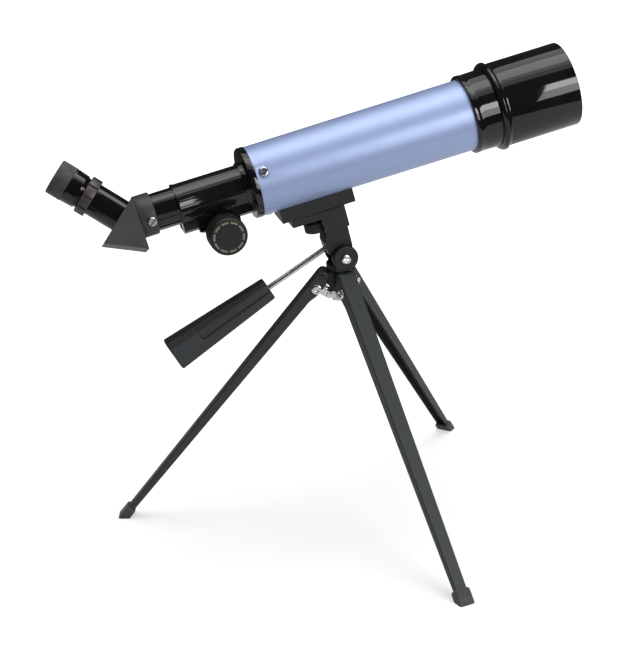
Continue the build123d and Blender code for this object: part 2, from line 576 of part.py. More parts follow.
MIRROR_LENGTH, MIRROR_THICKNESS, MIRROR_HALF = 23.0, 2.0, 12.5
MIRROR_ANGLE = degrees(atan2(PRISM_BACK[1] - PRISM_LOW[1], PRISM_BACK[0] - PRISM_LOW[0]))
with BuildPart() as diagonal_mirror:
    mirror_t = (PRISM_BACK[0] + PRISM_LOW[0]) / 2
    mirror_n = (PRISM_BACK[1] + PRISM_LOW[1]) / 2
    inward = PRISM_WALL + MIRROR_THICKNESS / 2 + 0.05
    along_back = Vector(cos(radians(MIRROR_ANGLE)), sin(radians(MIRROR_ANGLE)))
    with BuildSketch(along_diagonal()):
        with Locations((mirror_t + inward * along_back.Y, mirror_n - inward * along_back.X)):
            Rectangle(MIRROR_LENGTH, MIRROR_THICKNESS, rotation=MIRROR_ANGLE)
    extrude(amount=MIRROR_HALF, both=True)
save(diagonal_mirror.part, "diagonal_mirror")

NOSEPIECE_FRONT = -139.0
save(ring(PRISM_FACE_T - NOSEPIECE_SEAT, NOSEPIECE_FRONT, BARREL_R, BARREL_BORE, along_tube(), TUBE_AXIS),
     "diagonal_nosepiece")

# ================= eyepiece =================
BARREL_INNER_END, GRIP_RING_START, GRIP_RING_END = -1.8, 23.4, 31.4
TOP_START, TOP_R, CUP_START, CUP_END = 33.2, 12.95, 44.0, 56.2
save(ring(BARREL_INNER_END, GRIP_RING_END, BARREL_R, BARREL_BORE, along_eyepiece(), EYE_AXIS),
     "eyepiece_barrel")

GRIP_LOBES, GRIP_RING_R, LOBE_GAP, LOBE_DEPTH, LOBE_ANGLE = 10, 14.7, 1.7, 1.2, 24
with BuildPart() as eyepiece_grip_ring:
    with BuildSketch(across_eyepiece(GRIP_RING_START)):
        Circle(GRIP_RING_R)
        Circle(BARREL_R + 0.02, mode=Mode.SUBTRACT)
        with PolarLocations(GRIP_RING_R, GRIP_LOBES, start_angle=LOBE_ANGLE):
            Rectangle(2 * LOBE_DEPTH, LOBE_GAP, mode=Mode.SUBTRACT)
    extrude(amount=GRIP_RING_END - GRIP_RING_START)
save(eyepiece_grip_ring.part, "eyepiece_grip_ring")

EYE_OPENING_R, TOP_BORE, TOP_NECK_R, EYE_FACE, EYE_FACE_THICKNESS = 8.4, 9.6, 12.4, 50.0, 1.4
with BuildPart() as eyepiece_top:
    with BuildSketch(along_eyepiece()):
        outline((GRIP_RING_END + 0.02, TOP_BORE), (GRIP_RING_END + 0.02, TOP_R - 0.95),
                (TOP_START, TOP_R - 0.95), (TOP_START + 0.4, TOP_R), (CUP_START, TOP_R + 0.45),
                (CUP_START, TOP_NECK_R), (EYE_FACE, TOP_NECK_R), (EYE_FACE, EYE_OPENING_R),
                (EYE_FACE - EYE_FACE_THICKNESS, EYE_OPENING_R), (EYE_FACE - EYE_FACE_THICKNESS, TOP_BORE))
    revolve(axis=EYE_AXIS)
save(eyepiece_top.part, "eyepiece_top")

CUP_R = 13.6
with BuildPart() as eyecup:
    with BuildSketch(along_eyepiece()):
        outline((CUP_START + 0.05, TOP_NECK_R + 0.05), (CUP_START + 0.05, CUP_R),
                (CUP_END - 0.8, CUP_R), (CUP_END, CUP_R - 0.7), (CUP_END, CUP_R - 1.6),
                (EYE_FACE + 0.1, CUP_R - 3.0), (EYE_FACE + 0.1, TOP_NECK_R + 0.05))
    revolve(axis=EYE_AXIS)
save(eyecup.part, "eyecup")


def eyepiece_lens(rear, front, radius, bulge):
    """Lens flat at the rear, bulged towards the eye."""
    with BuildPart() as lens:
        with BuildSketch(along_eyepiece()):
            with BuildLine():
                surface_radius = (radius ** 2 + bulge ** 2) / (2 * bulge)
                Polyline((front, radius), (rear, radius), (rear, 0), (front + bulge, 0))
                RadiusArc((front + bulge, 0), (front, radius), -surface_radius)
            make_face()
        revolve(axis=EYE_AXIS)
    return lens.part


save(eyepiece_lens(23.0, 25.2, BARREL_BORE - 0.02, 1.6), "field_lens")
save(eyepiece_lens(44.6, 46.6, TOP_BORE - 0.02, 1.5), "eye_lens")

# ================= saddle and platform =================
SADDLE_CLEAR_R, SADDLE_LEAN, SADDLE_RISE = 27.1, 0.6, 13.5
NUT_ACROSS, NUT_POCKET_DEPTH = 5.5, 4.2
with BuildPart() as tube_saddle:
    with BuildSketch(along_tube()):
        outline((SADDLE_REAR, SADDLE_BOTTOM), (SADDLE_FRONT, SADDLE_BOTTOM),
                (SADDLE_FRONT - SADDLE_LEAN, SADDLE_BOTTOM + SADDLE_RISE),
                (SADDLE_REAR - SADDLE_LEAN, SADDLE_BOTTOM + SADDLE_RISE))
    extrude(amount=SADDLE_HALF, both=True)
    chamfer(tube_saddle.edges().filter_by(TUBE_AXIS).sort_by(Axis(TUBE_ORIGIN, TUBE_UP))[0:2], 0.6)
    with BuildSketch(across_tube(SADDLE_REAR - 5)):
        Circle(SADDLE_CLEAR_R)
    extrude(amount=SADDLE_FRONT - SADDLE_REAR + 10, mode=Mode.SUBTRACT)
    with BuildSketch(level_with_tube(SADDLE_BOTTOM, MOUNT_T)):
        RegularPolygon(NUT_ACROSS, 6, major_radius=False)
    extrude(amount=NUT_POCKET_DEPTH, mode=Mode.SUBTRACT)
    with BuildSketch(level_with_tube(SADDLE_BOTTOM, MOUNT_T)):
        Circle(STUD_R + 0.2)
    extrude(amount=6.5, mode=Mode.SUBTRACT)
    for t in SADDLE_SCREW_T:
        with BuildSketch(level_with_tube(SADDLE_BOTTOM + 2.5, t)):
            Circle(SADDLE_SCREW_R + 0.02)
        extrude(amount=10, mode=Mode.SUBTRACT)
save(tube_saddle.part, "tube_saddle")

with BuildPart() as saddle_nut:
    with BuildSketch(level_with_tube(SADDLE_BOTTOM + 0.1, MOUNT_T)):
        RegularPolygon(NUT_ACROSS - 0.05, 6, major_radius=False)
        Circle(STUD_R + 0.08, mode=Mode.SUBTRACT)
    extrude(amount=NUT_POCKET_DEPTH - 0.2)
save(saddle_nut.part, "saddle_nut")

saddle_screws = []
for t in SADDLE_SCREW_T:
    seat = Plane(origin=tube_point(t, 0.25 - TUBE_BORE), x_dir=TUBE_DIR, z_dir=TUBE_UP)
    saddle_screws.append(cross_screw(seat, 2.6, 1.4, SADDLE_SCREW_R, 7.0))
save_group(saddle_screws, "saddle_screws")

KNOB_TOP, KNOB_BOTTOM, KNOB_RIBS, KNOB_RIB_R = -45.0, -52.2, 30, 0.42
KNOB_NECK_R, KNOB_NECK_GAP = 5.2, 0.35
STUD_TOP, STUD_IN_KNOB = -29.5, 1.0
with BuildPart() as mount_knob:
    with BuildSketch(level_with_tube(KNOB_BOTTOM, MOUNT_T)):
        Circle(MOUNT_KNOB_R)
        with PolarLocations(MOUNT_KNOB_R + 0.1, KNOB_RIBS):
            Circle(KNOB_RIB_R, mode=Mode.SUBTRACT)
    extrude(amount=KNOB_TOP - KNOB_BOTTOM)
    with BuildSketch(level_with_tube(KNOB_BOTTOM - 0.6, MOUNT_T)):
        Circle(MOUNT_KNOB_R - 1.2)
    extrude(amount=0.6)
    with BuildSketch(level_with_tube(KNOB_TOP, MOUNT_T)):
        Circle(KNOB_NECK_R)
    extrude(amount=PLATE_BOTTOM - KNOB_NECK_GAP - KNOB_TOP)
    with BuildSketch(level_with_tube(KNOB_BOTTOM + STUD_IN_KNOB, MOUNT_T)):
        Circle(STUD_R)
    extrude(amount=PLATE_BOTTOM - KNOB_BOTTOM, mode=Mode.SUBTRACT)
save(mount_knob.part, "mount_knob")

with BuildPart() as mount_stud:
    with BuildSketch(level_with_tube(KNOB_BOTTOM + STUD_IN_KNOB, MOUNT_T)):
        Circle(STUD_R)
    extrude(amount=STUD_TOP - KNOB_BOTTOM - STUD_IN_KNOB)
    chamfer(mount_stud.edges().sort_by(Axis(TUBE_ORIGIN, TUBE_UP))[-1], 0.6)
save(mount_stud.part, "mount_stud")

# ================= tilt arm =================
TILT_PLANE = Plane(origin=(STAND_X + PIVOT_X, STAND_Y, PIVOT_Z), x_dir=(1, 0, 0), z_dir=RIGHT_SIDE)
ROD_DIR = Vector(-cos(radians(HANDLE_DROP)), 0, -sin(radians(HANDLE_DROP)))
ROD_ORIGIN = Vector(STAND_X + ROD_X, STAND_Y, ROD_Z)


def across_handle(s):
    """Plane square to the handle, s along it from the arm: local x is +Y."""
    return Plane(origin=ROD_ORIGIN + ROD_DIR * s, x_dir=(0, 1, 0), z_dir=ROD_DIR)


with BuildPart() as tilt_arm:
    # platform plate
    with BuildSketch(along_tube()):
        outline((PLATE_REAR, PLATE_BOTTOM), (PLATE_FRONT, PLATE_BOTTOM),
                (PLATE_FRONT, SADDLE_BOTTOM - 0.05), (PLATE_REAR, SADDLE_BOTTOM - 0.05))
    extrude(amount=CHEEK_OUTER - 0.4, both=True)
    # broad upper block under the plate
    with BuildSketch(stand_plane()):
        outline((-17.5, 257.5), (2.9, 261.5), (5.8, 249.0), (6.6, 245.4), (-9.2, 238.2), (-12.0, 241.5))
    extrude(amount=CHEEK_OUTER, both=True)
    # lower arm down to the tongue round the tilt bolt
    with BuildSketch(stand_plane()):
        outline((2.0, 260.0), (5.2, 249.0), (10.0, 227.2), (8.8, 219.0), (PIVOT_X, 214.6),
                (-2.3, 217.0), (-8.7, 221.6), (-11.6, 230.6), (-11.0, 239.9), (-15.0, 254.0))
    extrude(amount=TONGUE_HALF, both=True)
    with BuildSketch(TILT_PLANE):
        Circle(TONGUE_R)
    extrude(amount=TONGUE_HALF, both=True)
    with BuildSketch(TILT_PLANE):
        Circle(BOLT_R + 0.06)
    extrude(amount=CHEEK_OUTER, both=True, mode=Mode.SUBTRACT)
    # pocket for the mounting knob and hole for its stud
    with BuildSketch(level_with_tube(PLATE_BOTTOM, MOUNT_T)):
        Circle(MOUNT_KNOB_R + 0.8)
    extrude(amount=KNOB_BOTTOM - PLATE_BOTTOM - 2, mode=Mode.SUBTRACT)
    with BuildSketch(level_with_tube(PLATE_BOTTOM, MOUNT_T)):
        Circle(STUD_R + 0.08)
    extrude(amount=8, mode=Mode.SUBTRACT)
    # threaded hole for the handle rod
    with BuildSketch(across_handle(-ROD_BURIED - 0.3)):
        Circle(ROD_R + 0.06)
    extrude(amount=30, mode=Mode.SUBTRACT)
save(tilt_arm.part, "tilt_arm")

# ================= pan fork =================
FORK_BOTTOM, FORK_TOP, FORK_ROUND_R = 208.5, 212.3, 8.8
FORK_LENGTH, CHEEK_NECK_LENGTH, CHEEK_STEP = 13.0, 11.0, 1.0
PAN_BOLT_SEAT, PAN_BOLT_R, PAN_BOLT_HEAD_R = 210.0, 2.4, 4.1
with BuildPart() as pan_fork:
    with BuildSketch(level(FORK_BOTTOM)):
        Circle(FORK_ROUND_R)
        with Locations((PIVOT_X / 2, 0)):
            RectangleRounded(FORK_LENGTH, 2 * (CHEEK_OUTER - CHEEK_STEP), 3.0)
    extrude(amount=FORK_TOP - FORK_BOTTOM)
    for side in (1, -1):
        with BuildSketch(TILT_PLANE.offset(side * CHEEK_INNER)):
            Circle(CHEEK_R)
            with Locations((-PIVOT_X / 2, (FORK_BOTTOM - PIVOT_Z) / 2)):
                Rectangle(CHEEK_NECK_LENGTH, PIVOT_Z - FORK_BOTTOM)
        extrude(amount=side * (CHEEK_OUTER - CHEEK_INNER - CHEEK_STEP))
        with BuildSketch(TILT_PLANE.offset(side * (CHEEK_OUTER - CHEEK_STEP))):
            Circle(CHEEK_R - 0.2)
        extrude(amount=side * CHEEK_STEP)
    outer_rims = pan_fork.edges().filter_by(GeomType.CIRCLE).sort_by(Axis.Y)
    fillet([outer_rims[0], outer_rims[-1]], 0.7)
    with BuildSketch(TILT_PLANE):
        Circle(BOLT_R + 0.02)
    extrude(amount=CHEEK_OUTER, both=True, mode=Mode.SUBTRACT)
    # counterbore of the pan bolt
    with BuildSketch(level(PAN_BOLT_SEAT)):
        Circle(PAN_BOLT_HEAD_R + 0.2)
    extrude(amount=5, mode=Mode.SUBTRACT)
    with BuildSketch(level(FORK_BOTTOM - 1)):
        Circle(PAN_BOLT_R + 0.02)
    extrude(amount=5, mode=Mode.SUBTRACT)
save(pan_fork.part, "pan_fork")

NUT_TOP, NUT_HEIGHT = 203.3, 2.4
with BuildPart() as pan_bolt:
    with BuildSketch(level(PAN_BOLT_SEAT)):
        Circle(PAN_BOLT_HEAD_R)
    extrude(amount=1.9)
    with BuildSketch(level(PAN_BOLT_SEAT + 1.1)):
        Rectangle(9.0, 1.1)
    extrude(amount=1.5, mode=Mode.SUBTRACT)
    with BuildSketch(level(PAN_BOLT_SEAT)):
        Circle(PAN_BOLT_R)
    extrude(amount=NUT_TOP - NUT_HEIGHT - 0.6 - PAN_BOLT_SEAT)
save(pan_bolt.part, "pan_bolt")

with BuildPart() as pan_nut:
    with BuildSketch(level(NUT_TOP - NUT_HEIGHT)):
        RegularPolygon(4.2, 6, major_radius=True)
        Circle(PAN_BOLT_R, mode=Mode.SUBTRACT)
    extrude(amount=NUT_HEIGHT)
save(pan_nut.part, "pan_nut")

TILT_SEAT = Plane(origin=(STAND_X + PIVOT_X, STAND_Y - CHEEK_OUTER, PIVOT_Z), x_dir=(1, 0, 0),
                  z_dir=RIGHT_SIDE)
save(cross_screw(TILT_SEAT, 3.8, 1.9, BOLT_R, 2 * CHEEK_OUTER + 3.6), "tilt_bolt")
with BuildPart() as tilt_nut:
    with BuildSketch(TILT_SEAT.offset(-2 * CHEEK_OUTER - 0.02)):
        RegularPolygon(3.9, 6, major_radius=True)
        Circle(BOLT_R, mode=Mode.SUBTRACT)
    extrude(amount=-3.0)
save(tilt_nut.part, "tilt_nut")

# ================= pan handle =================
ROD_IN_GRIP = 30.0
with BuildPart() as handle_rod:
    with BuildSketch(across_handle(-ROD_BURIED)):
        Circle(ROD_R)
    extrude(amount=ROD_BURIED + GRIP_START + ROD_IN_GRIP)
save(handle_rod.part, "handle_rod")

GRIP_HEAD, GRIP_TAIL, GRIP_CORNER_R = (13.5, 16.0), (17.0, 24.0), 2.2
RECESS_END = 0.72 * (GRIP_END - GRIP_START)
with BuildPart() as handle_grip:
    with BuildSketch(across_handle(GRIP_START)):
        RectangleRounded(*GRIP_HEAD, GRIP_CORNER_R)
    with BuildSketch(across_handle(GRIP_END)):
        RectangleRounded(*GRIP_TAIL, GRIP_CORNER_R)
    loft()
    ends = handle_grip.faces().sort_by(Axis(ROD_ORIGIN, ROD_DIR))
    fillet(ends[-1].edges(), 1.4)
    fillet(handle_grip.faces().sort_by(Axis(ROD_ORIGIN, ROD_DIR))[0].edges(), 0.8)
    # long shallow recess in the upper half of each flat side, open at the head end
    for side in (1, -1):
        with BuildSketch(across_handle(GRIP_START - 1)):
            with Locations((side * (GRIP_HEAD[0] / 2 + 0.9), 2.9)):
                Rectangle(4.4, 5.4)
        with BuildSketch(across_handle(GRIP_START + RECESS_END)):
            with Locations((side * (GRIP_TAIL[0] / 2 - 0.2), 4.2)):
                Rectangle(4.4, 8.2)
        loft(mode=Mode.SUBTRACT)
    with BuildSketch(across_handle(GRIP_START - 1)):
        Circle(ROD_R)
    extrude(amount=ROD_IN_GRIP + 1, mode=Mode.SUBTRACT)
save(handle_grip.part, "handle_grip")

# ================= stand hub =================
def leg_directions(k):
    """Radial, tangential, down-the-leg and outward directions of leg k."""
    azimuth = radians(LEG_AZIMUTH + k * 360 / LEG_COUNT)
    radial = Vector(cos(azimuth), sin(azimuth), 0)
    tangent = Vector(-sin(azimuth), cos(azimuth), 0)
    down = radial * sin(radians(SPLAY)) - Vector(0, 0, cos(radians(SPLAY)))
    outward = radial * cos(radians(SPLAY)) + Vector(0, 0, sin(radians(SPLAY)))
    return radial, tangent, down, outward


def hinge_point(k):
    return Vector(STAND_X, STAND_Y, HINGE_Z) + leg_directions(k)[0] * HINGE_R


def leg_side(k, w=0.0):
    """Side view of leg k: local x runs down the leg, local y points outward."""
    radial, tangent, down, outward = leg_directions(k)
    return Plane(origin=hinge_point(k) + tangent * w, x_dir=down, z_dir=-tangent)


def leg_front(k, lift=0.0):
    """Front view of leg k: local x runs down the leg, local y is across it."""
    radial, tangent, down, outward = leg_directions(k)
    return Plane(origin=hinge_point(k) + outward * lift, x_dir=down, z_dir=outward)


def radial_side(k):
    """Upright plane through leg k: local x is the radius, local y the height."""
    radial, tangent, down, outward = leg_directions(k)
    return Plane(origin=(STAND_X, STAND_Y, 0), x_dir=radial, z_dir=-tangent)


HINGE_PIN_R = 1.5
ARM_THICKNESS, ARM_ROOT = 6.4, 7.5
ARM_HALF = LEG_WIDTH_TOP / 2 - LEG_SHEET - 0.25
STEM_R, STEM_BORE = 3.6, 3.75
NUT_POCKET_R = 4.4
with BuildPart() as tripod_hub:
    with BuildSketch(level(HUB_BOTTOM)):
        Circle(HUB_R)
    extrude(amount=HUB_TOP - HUB_BOTTOM)
    for k in range(LEG_COUNT):
        with BuildSketch(radial_side(k)):
            with Locations((HINGE_R, HINGE_Z)):
                Circle(ARM_THICKNESS / 2)
            outline((0, HINGE_Z + ARM_THICKNESS / 2), (HINGE_R, HINGE_Z + ARM_THICKNESS / 2),
                    (HINGE_R, HINGE_Z - ARM_THICKNESS / 2),
                    (HUB_R - 0.5, HINGE_Z - ARM_ROOT), (0, HINGE_Z - ARM_ROOT))
        extrude(amount=ARM_HALF, both=True)
        with BuildSketch(leg_side(k)):
            Circle(HINGE_PIN_R)
        extrude(amount=LEG_WIDTH_TOP, both=True, mode=Mode.SUBTRACT)
    with BuildSketch(level(HUB_BOTTOM)):
        Circle(STEM_BORE)
    extrude(amount=NUT_TOP - NUT_HEIGHT - 0.9 - HUB_BOTTOM, mode=Mode.SUBTRACT)
    with BuildSketch(level(NUT_TOP - NUT_HEIGHT - 1.0)):
        Circle(NUT_POCKET_R)
    extrude(amount=NUT_HEIGHT + 1.1, mode=Mode.SUBTRACT)
    with BuildSketch(level(NUT_TOP - 1)):
        Circle(PAN_BOLT_R + 0.05)
    extrude(amount=HUB_TOP - NUT_TOP + 2, mode=Mode.SUBTRACT)
save(tripod_hub.part, "tripod_hub")

HINGE_HEAD_R, HINGE_HEAD_HEIGHT = 2.4, 0.8
save_group([pin(leg_side(k), LEG_WIDTH_TOP / 2 + 0.05, HINGE_PIN_R - 0.05, HINGE_HEAD_R, HINGE_HEAD_HEIGHT)
            for k in range(LEG_COUNT)], "hinge_pins")


# ================= legs =================
LEG_REACH = 20.0
LUG_DEPTH, LUG_START, LUG_FLAT_END, LUG_END = 6.0, 3.0, 14.5, 22.0


def leg_taper(k, inset):
    """Full-height block that narrows towards the foot as leg k does in front view."""
    half_top = LEG_WIDTH_TOP / 2 - inset
    half_foot = LEG_WIDTH_FOOT / 2 - inset
    with BuildPart() as block:
        with BuildSketch(leg_front(k, -LEG_REACH)):
            outline((-LEG_REACH, -half_top), (LEG_END, -half_foot),
                    (LEG_END, half_foot), (-LEG_REACH, half_top))
        extrude(amount=2 * LEG_REACH)
    return block.part


def leg_blank(k):
    """Tapered bar of leg k, round at the hinge, with a lug for the brace rivet."""
    with BuildPart() as blank:
        with BuildSketch(leg_side(k)):
            Circle(LEG_DEPTH_TOP / 2)
            outline((0, LEG_DEPTH_TOP / 2), (LEG_END, LEG_DEPTH_FOOT / 2), (LEG_END, -LEG_DEPTH_FOOT / 2),
                    (LUG_END, 0.3 - LEG_DEPTH_TOP / 2), (LUG_FLAT_END, -LUG_DEPTH), (LUG_START, -LUG_DEPTH),
                    (1.0 - LEG_DEPTH_TOP / 2, -1.5))
        extrude(amount=LEG_WIDTH_TOP, both=True)
        add(leg_taper(k, 0), mode=Mode.INTERSECT)
    return blank.part


def leg_core(k):
    """Inside of the channel: open inward, and open at the hinge where the hub's arm comes in."""
    web_top = LEG_DEPTH_TOP / 2 - LEG_SHEET
    web_foot = LEG_DEPTH_FOOT / 2 - LEG_SHEET
    arm_edge = leg_arm_edge(ARM_THICKNESS / 2 + 0.4)
    with BuildPart() as core:
        with BuildSketch(leg_side(k)):
            Circle(web_top)
            outline((0, web_top), (LEG_END, web_foot), (LEG_END, -LEG_REACH), (arm_edge[1][0], -LEG_REACH),
                    arm_edge[1], arm_edge[0])
        extrude(amount=LEG_WIDTH_TOP, both=True)
        add(leg_taper(k, LEG_SHEET), mode=Mode.INTERSECT)
    return core.part


def leg_arm_edge(offset_from_axis):
    """Two points on the upper edge of the hub's arm, seen from the side of an open leg."""
    inward = Vector(-sin(radians(SPLAY)), -cos(radians(SPLAY)))
    sideways = Vector(-cos(radians(SPLAY)), sin(radians(SPLAY))) * offset_from_axis
    far = sideways + inward * LEG_REACH
    return (sideways.X, sideways.Y), (far.X, far.Y)


def bent_corners(part, k):
    """The two long outer corners of a leg, where the sheet is bent."""
    outward = leg_directions(k)[3]
    long_edges = part.edges().sort_by(SortBy.LENGTH)[-6:]
    return long_edges.sort_by(Axis(hinge_point(k), outward))[-2:]


RIVET_R, RIVET_HEAD_R, RIVET_HEAD_HEIGHT = 1.3, 4.2, 1.2
FOOT_OVERRUN = 3.4
for k in range(LEG_COUNT):
    radial, tangent, down, outward = leg_directions(k)
    outer = leg_blank(k)
    with BuildPart() as leg:
        add(outer)
        fillet(bent_corners(leg.part, k), 1.2)
        add(leg_core(k), mode=Mode.SUBTRACT)
        with BuildSketch(leg_side(k)):
            Circle(HINGE_PIN_R)
            with Locations((RIVET_ALONG, -RIVET_INWARD)):
                Circle(RIVET_R)
        extrude(amount=LEG_WIDTH_TOP, both=True, mode=Mode.SUBTRACT)
    save(leg.part, f"leg_{k + 1}")

    rivet_plane = Plane(origin=hinge_point(k) + down * RIVET_ALONG - outward * RIVET_INWARD,
                        x_dir=down, z_dir=tangent)
    save(pin(rivet_plane, LEG_WIDTH_TOP / 2 + 0.02, RIVET_R, RIVET_HEAD_R, RIVET_HEAD_HEIGHT),
         f"brace_rivet_{k + 1}")

    # soft cap over the leg's end, cut flat where it stands on the floor
    with BuildPart() as foot:
        with BuildSketch(leg_front(k, -FOOT_DEPTH / 2)):
            with Locations((HINGE_Z / cos(radians(SPLAY)) - FOOT_LENGTH / 2 + FOOT_OVERRUN, 0)):
                Rectangle(FOOT_LENGTH, FOOT_WIDTH)
        extrude(amount=FOOT_DEPTH)
        fillet(foot.edges().filter_by(Axis((0, 0, 0), outward)), 2.2)
        fillet(foot.faces().sort_by(Axis(hinge_point(k), outward))[-1].edges(), 1.6)
        split(bisect_by=Plane.XY, keep=Keep.TOP)
        add(outer, mode=Mode.SUBTRACT)
    save(foot.part.solids().sort_by(SortBy.VOLUME)[-1], f"foot_{k + 1}")

# ================= brace =================
RIVET_RADIUS = HINGE_R + RIVET_ALONG * sin(radians(SPLAY)) - RIVET_INWARD * cos(radians(SPLAY))
RIVET_Z = HINGE_Z - RIVET_ALONG * cos(radians(SPLAY)) - RIVET_INWARD * sin(radians(SPLAY))
LINK_LENGTH = hypot(RIVET_RADIUS - SPIDER_R, RIVET_Z - SPIDER_Z)
LINK_TILT = degrees(atan2(SPIDER_Z - RIVET_Z, SPIDER_R - RIVET_RADIUS))
EAR_HALF = 4.0
LINK_INNER, LINK_OUTER = 4.3, 5.1
SMALL_RIVET_R = 1.1
SLOT_PLAY, SLOT_RUN = 0.5, 1.6
WEB_OFFSET, WEB_LENGTH, WEB_THICKNESS = 1.6, 3.6, 1.0

for k in range(LEG_COUNT):
    radial, tangent, down, outward = leg_directions(k)
    start = Vector(STAND_X, STAND_Y, RIVET_Z) + radial * RIVET_RADIUS
    toward = (radial * cos(radians(LINK_TILT)) + Vector(0, 0, sin(radians(LINK_TILT))))
    side_view = Plane(origin=start, x_dir=toward, z_dir=-tangent)
    with BuildPart() as link:
        for side in (1, -1):
            with BuildSketch(side_view.offset(side * LINK_INNER)):
                with Locations((LINK_LENGTH / 2, 0)):
                    SlotCenterToCenter(LINK_LENGTH, 2 * LINK_HALF_HEIGHT)
                Circle(RIVET_R + 0.06, mode=Mode.SUBTRACT)
                with Locations((LINK_LENGTH - SLOT_RUN / 2, 0)):
                    SlotCenterToCenter(SLOT_RUN, 2 * (SMALL_RIVET_R + SLOT_PLAY), mode=Mode.SUBTRACT)
            extrude(amount=side * (LINK_OUTER - LINK_INNER))
        # web that ties the two cheeks along the lower edge
        with BuildSketch(side_view):
            with Locations((LINK_LENGTH / 2 - WEB_OFFSET, LINK_HALF_HEIGHT - WEB_THICKNESS / 2)):
                Rectangle(WEB_LENGTH, WEB_THICKNESS)
        extrude(amount=LINK_OUTER, both=True)
    save(link.part, f"brace_link_{k + 1}")

SPIDER_BOTTOM, SPIDER_BASE_R, STEM_TOP = 182.4, 5.0, 199.6
with BuildPart() as brace_spider:
    with BuildSketch(level(SPIDER_BOTTOM)):
        Circle(SPIDER_BASE_R)
    extrude(amount=SPIDER_Z + LINK_HALF_HEIGHT - SPIDER_BOTTOM)
    for k in range(LEG_COUNT):
        with BuildSketch(radial_side(k)):
            with Locations((SPIDER_R, SPIDER_Z)):
                Circle(LINK_HALF_HEIGHT)
            with Locations((SPIDER_R / 2, SPIDER_Z)):
                Rectangle(SPIDER_R, 2 * LINK_HALF_HEIGHT)
        extrude(amount=EAR_HALF, both=True)
    with BuildSketch(level(SPIDER_Z)):
        Circle(STEM_R)
    extrude(amount=STEM_TOP - SPIDER_Z)
    for k in range(LEG_COUNT):
        with BuildSketch(radial_side(k)):
            with Locations((SPIDER_R, SPIDER_Z)):
                Circle(SMALL_RIVET_R)
        extrude(amount=LINK_OUTER, both=True, mode=Mode.SUBTRACT)
save(brace_spider.part, "brace_spider")

link_pins = []
for k in range(LEG_COUNT):
    radial, tangent, down, outward = leg_directions(k)
    middle = Vector(STAND_X, STAND_Y, SPIDER_Z) + radial * SPIDER_R
    link_pins.append(pin(Plane(origin=middle, x_dir=radial, z_dir=-tangent), LINK_OUTER + 0.05,
                         SMALL_RIVET_R, 2.0, 0.4))
save_group(link_pins, "link_pins")
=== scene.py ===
import json
from math import cos, pi, radians, sin

import bmesh
import bpy
from mathutils import Matrix, Vector


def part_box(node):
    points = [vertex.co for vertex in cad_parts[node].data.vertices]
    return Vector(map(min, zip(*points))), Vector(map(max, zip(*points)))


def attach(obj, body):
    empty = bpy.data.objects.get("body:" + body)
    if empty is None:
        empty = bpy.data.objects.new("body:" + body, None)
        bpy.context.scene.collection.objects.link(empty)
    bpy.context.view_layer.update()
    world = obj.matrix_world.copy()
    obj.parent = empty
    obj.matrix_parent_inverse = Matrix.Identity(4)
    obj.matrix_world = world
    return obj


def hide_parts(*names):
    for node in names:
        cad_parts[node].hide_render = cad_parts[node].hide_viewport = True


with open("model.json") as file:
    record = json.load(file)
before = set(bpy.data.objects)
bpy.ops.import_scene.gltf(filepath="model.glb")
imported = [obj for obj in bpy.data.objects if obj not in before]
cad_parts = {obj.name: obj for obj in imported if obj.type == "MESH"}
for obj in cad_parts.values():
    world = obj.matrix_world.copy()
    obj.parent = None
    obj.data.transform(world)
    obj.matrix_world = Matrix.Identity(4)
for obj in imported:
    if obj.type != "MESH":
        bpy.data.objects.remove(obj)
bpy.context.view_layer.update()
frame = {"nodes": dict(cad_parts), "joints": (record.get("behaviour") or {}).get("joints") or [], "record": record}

# Small refractor telescope on a table stand. Metres, +Z up, +X towards the objective.

nodes = frame["nodes"]
joints = {joint["name"]: joint for joint in frame["joints"]}
MM = 0.001


def joint_place(name):
    return Vector(joints[name]["pos_m"])


def joint_axis(name):
    return Vector(joints[name]["axis"]).normalized()


STAND = joint_place("pan")
STAND.z = 0.0


def ring(radius, height, sides):
    """Points round the Z axis, or the one point on it where sides is 1."""
    angles = [2 * pi * k / sides for k in range(sides)]
    return [Vector((radius * cos(angle), radius * sin(angle), height)) for angle in angles]


# ---- camera, floor and light ----
VIEW_AZIMUTH, VIEW_ELEVATION, VIEW_ROLL = radians(15.19), radians(21.88), radians(-1.89)
VIEW_DISTANCE = 1.6
VIEW_TARGET = STAND + Vector((-26.6, -20.3, 171.6)) * MM
FOCAL_LENGTH, SENSOR_WIDTH = 116.72, 36.0
AMBIENT, MIRRORED_AMBIENT = 0.42, 0.04
TABLE_R, FAR_R, TABLE_SIDES = 0.72, 7.0, 96
# the table is lightened for the camera only: strength near and far, and the distances it grows between
FLOOR_LIFT, FLOOR_LIFT_FAR, LIFT_FROM, LIFT_TO = 0.42, 0.9, 0.12, 1.1


def make_camera():
    data = bpy.data.cameras.new("camera")
    data.lens = FOCAL_LENGTH
    data.sensor_width = SENSOR_WIDTH
    camera = bpy.data.objects.new("camera", data)
    bpy.context.scene.collection.objects.link(camera)
    forward = Vector((sin(VIEW_AZIMUTH) * cos(VIEW_ELEVATION), cos(VIEW_AZIMUTH) * cos(VIEW_ELEVATION),
                      -sin(VIEW_ELEVATION)))
    level_right = forward.cross(Vector((0, 0, 1))).normalized()
    level_up = level_right.cross(forward)
    right = level_right * cos(VIEW_ROLL) + level_up * sin(VIEW_ROLL)
    up = level_up * cos(VIEW_ROLL) - level_right * sin(VIEW_ROLL)
    turn = Matrix((right, up, -forward)).transposed().to_4x4()
    camera.matrix_world = Matrix.Translation(VIEW_TARGET - forward * VIEW_DISTANCE) @ turn
    bpy.context.scene.camera = camera


